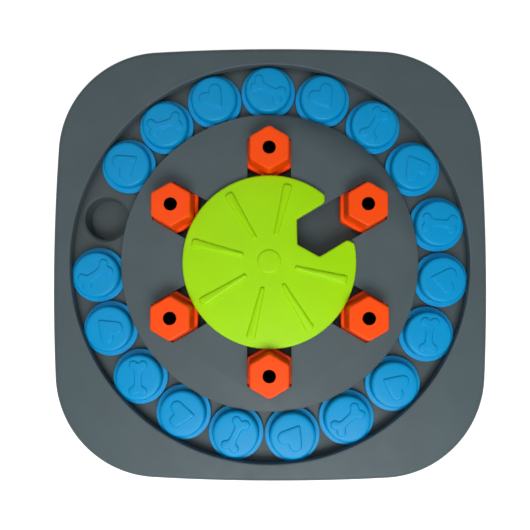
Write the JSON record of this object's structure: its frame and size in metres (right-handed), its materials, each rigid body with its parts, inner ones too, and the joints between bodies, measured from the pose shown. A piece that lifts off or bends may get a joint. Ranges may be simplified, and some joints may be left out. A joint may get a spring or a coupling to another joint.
{
  "type": "dog puzzle feeder toy",
  "caption": "Square board with a ring of sliding round pucks over treat wells, hexagonal sliders in radial slots and a notched wheel that locks them.",
  "frame": {"origin": "middle of the board, on the ground under its feet", "axes": "+Z up; in the reference picture, taken from above, +X points right and +Y points up"},
  "size_m": [0.3, 0.3, 0.038],
  "materials": {
    "grey_plastic": "fine satin, injection moulded",
    "blue_plastic": "glossy, injection moulded",
    "orange_plastic": "half gloss, injection moulded",
    "green_plastic": "satin, injection moulded",
    "foot_rubber": "matte",
    "screw_steel": "zinc plated"
  },
  "bodies": {
    "base": {"top_frame": "grey_plastic", "base_tray": "grey_plastic", "centre_plate": "grey_plastic", "plate_screws": "screw_steel", "frame_screws": "screw_steel", "rubber_foot_1": "foot_rubber", "rubber_foot_2": "foot_rubber", "rubber_foot_3": "foot_rubber", "rubber_foot_4": "foot_rubber"},
    "wheel": {"wheel": "green_plastic", "wheel_shaft": "green_plastic", "wheel_washer": "screw_steel", "wheel_screw": "screw_steel"},
    "slider_1": {"slider_1": "orange_plastic", "slider_shoe_1": "orange_plastic"},
    "slider_2": {"slider_2": "orange_plastic", "slider_shoe_2": "orange_plastic"},
    "slider_3": {"slider_3": "orange_plastic", "slider_shoe_3": "orange_plastic"},
    "slider_4": {"slider_4": "orange_plastic", "slider_shoe_4": "orange_plastic"},
    "slider_5": {"slider_5": "orange_plastic", "slider_shoe_5": "orange_plastic"},
    "slider_6": {"slider_6": "orange_plastic", "slider_shoe_6": "orange_plastic"},
    "puck_01": {"puck_01": "blue_plastic"},
    "puck_02": {"puck_02": "blue_plastic"},
    "puck_03": {"puck_03": "blue_plastic"},
    "puck_04": {"puck_04": "blue_plastic"},
    "puck_05": {"puck_05": "blue_plastic"},
    "puck_06": {"puck_06": "blue_plastic"},
    "puck_07": {"puck_07": "blue_plastic"},
    "puck_08": {"puck_08": "blue_plastic"},
    "puck_09": {"puck_09": "blue_plastic"},
    "puck_10": {"puck_10": "blue_plastic"},
    "puck_11": {"puck_11": "blue_plastic"},
    "puck_12": {"puck_12": "blue_plastic"},
    "puck_13": {"puck_13": "blue_plastic"},
    "puck_14": {"puck_14": "blue_plastic"},
    "puck_15": {"puck_15": "blue_plastic"},
    "puck_16": {"puck_16": "blue_plastic"},
    "puck_17": {"puck_17": "blue_plastic"},
    "puck_18": {"puck_18": "blue_plastic"}
  },
  "joints": [
    {"name": "wheel_spin", "type": "hinge", "parent": "base", "child": "wheel", "pos_m": [0, 0, 0.0248], "axis": [0, 0, 1], "range_deg": [-360, 360]},
    {"name": "slider_1_slide", "type": "slide", "parent": "base", "child": "slider_1", "axis": [-0.866, -0.5, 0], "range_m": [0, 0.036]},
    {"name": "slider_2_slide", "type": "slide", "parent": "base", "child": "slider_2", "axis": [0, -1, 0], "range_m": [0, 0.001]},
    {"name": "slider_3_slide", "type": "slide", "parent": "base", "child": "slider_3", "axis": [0.866, -0.5, 0], "range_m": [0, 0.001]},
    {"name": "slider_4_slide", "type": "slide", "parent": "base", "child": "slider_4", "axis": [0.866, 0.5, 0], "range_m": [0, 0.001]},
    {"name": "slider_5_slide", "type": "slide", "parent": "base", "child": "slider_5", "axis": [0, 1, 0], "range_m": [0, 0.001]},
    {"name": "slider_6_slide", "type": "slide", "parent": "base", "child": "slider_6", "axis": [-0.866, 0.5, 0], "range_m": [0, 0.001]},
    {"name": "puck_ring_turn", "type": "hinge", "parent": "base", "child": "puck_18", "pos_m": [0, 0, 0.0178], "axis": [0, 0, 1], "continuous": true},
    {"name": "puck_17_shift", "type": "hinge", "parent": "puck_18", "child": "puck_17", "pos_m": [0, 0, 0.0178], "axis": [0, 0, 1], "range_deg": [0, 19.47]},
    {"name": "puck_16_shift", "type": "hinge", "parent": "puck_17", "child": "puck_16", "pos_m": [0, 0, 0.0178], "axis": [0, 0, 1], "range_deg": [0, 19]},
    {"name": "puck_15_shift", "type": "hinge", "parent": "puck_16", "child": "puck_15", "pos_m": [0, 0, 0.0178], "axis": [0, 0, 1], "range_deg": [0, 19.24]},
    {"name": "puck_14_shift", "type": "hinge", "parent": "puck_15", "child": "puck_14", "pos_m": [0, 0, 0.0178], "axis": [0, 0, 1], "range_deg": [0, 19.24]},
    {"name": "puck_13_shift", "type": "hinge", "parent": "puck_14", "child": "puck_13", "pos_m": [0, 0, 0.0178], "axis": [0, 0, 1], "range_deg": [0, 19.19]},
    {"name": "puck_12_shift", "type": "hinge", "parent": "puck_13", "child": "puck_12", "pos_m": [0, 0, 0.0178], "axis": [0, 0, 1], "range_deg": [0, 19.09]},
    {"name": "puck_11_shift", "type": "hinge", "parent": "puck_12", "child": "puck_11", "pos_m": [0, 0, 0.0178], "axis": [0, 0, 1], "range_deg": [0, 18.9]},
    {"name": "puck_10_shift", "type": "hinge", "parent": "puck_11", "child": "puck_10", "pos_m": [0, 0, 0.0178], "axis": [0, 0, 1], "range_deg": [0, 18.04]},
    {"name": "puck_09_shift", "type": "hinge", "parent": "puck_10", "child": "puck_09", "pos_m": [0, 0, 0.0178], "axis": [0, 0, 1], "range_deg": [0, 19.14]},
    {"name": "puck_08_shift", "type": "hinge", "parent": "puck_09", "child": "puck_08", "pos_m": [0, 0, 0.0178], "axis": [0, 0, 1], "range_deg": [0, 19.24]},
    {"name": "puck_07_shift", "type": "hinge", "parent": "puck_08", "child": "puck_07", "pos_m": [0, 0, 0.0178], "axis": [0, 0, 1], "range_deg": [0, 17.52]},
    {"name": "puck_06_shift", "type": "hinge", "parent": "puck_07", "child": "puck_06", "pos_m": [0, 0, 0.0178], "axis": [0, 0, 1], "range_deg": [0, 18.38]},
    {"name": "puck_05_shift", "type": "hinge", "parent": "puck_06", "child": "puck_05", "pos_m": [0, 0, 0.0178], "axis": [0, 0, 1], "range_deg": [0, 18.71]},
    {"name": "puck_04_shift", "type": "hinge", "parent": "puck_05", "child": "puck_04", "pos_m": [0, 0, 0.0178], "axis": [0, 0, 1], "range_deg": [0, 19.24]},
    {"name": "puck_03_shift", "type": "hinge", "parent": "puck_04", "child": "puck_03", "pos_m": [0, 0, 0.0178], "axis": [0, 0, 1], "range_deg": [0, 19.43]},
    {"name": "puck_02_shift", "type": "hinge", "parent": "puck_03", "child": "puck_02", "pos_m": [0, 0, 0.0178], "axis": [0, 0, 1], "range_deg": [0, 19.47]},
    {"name": "puck_01_shift", "type": "hinge", "parent": "puck_02", "child": "puck_01", "pos_m": [0, 0, 0.0178], "axis": [0, 0, 1], "range_deg": [0, 19.47]}
  ]
}
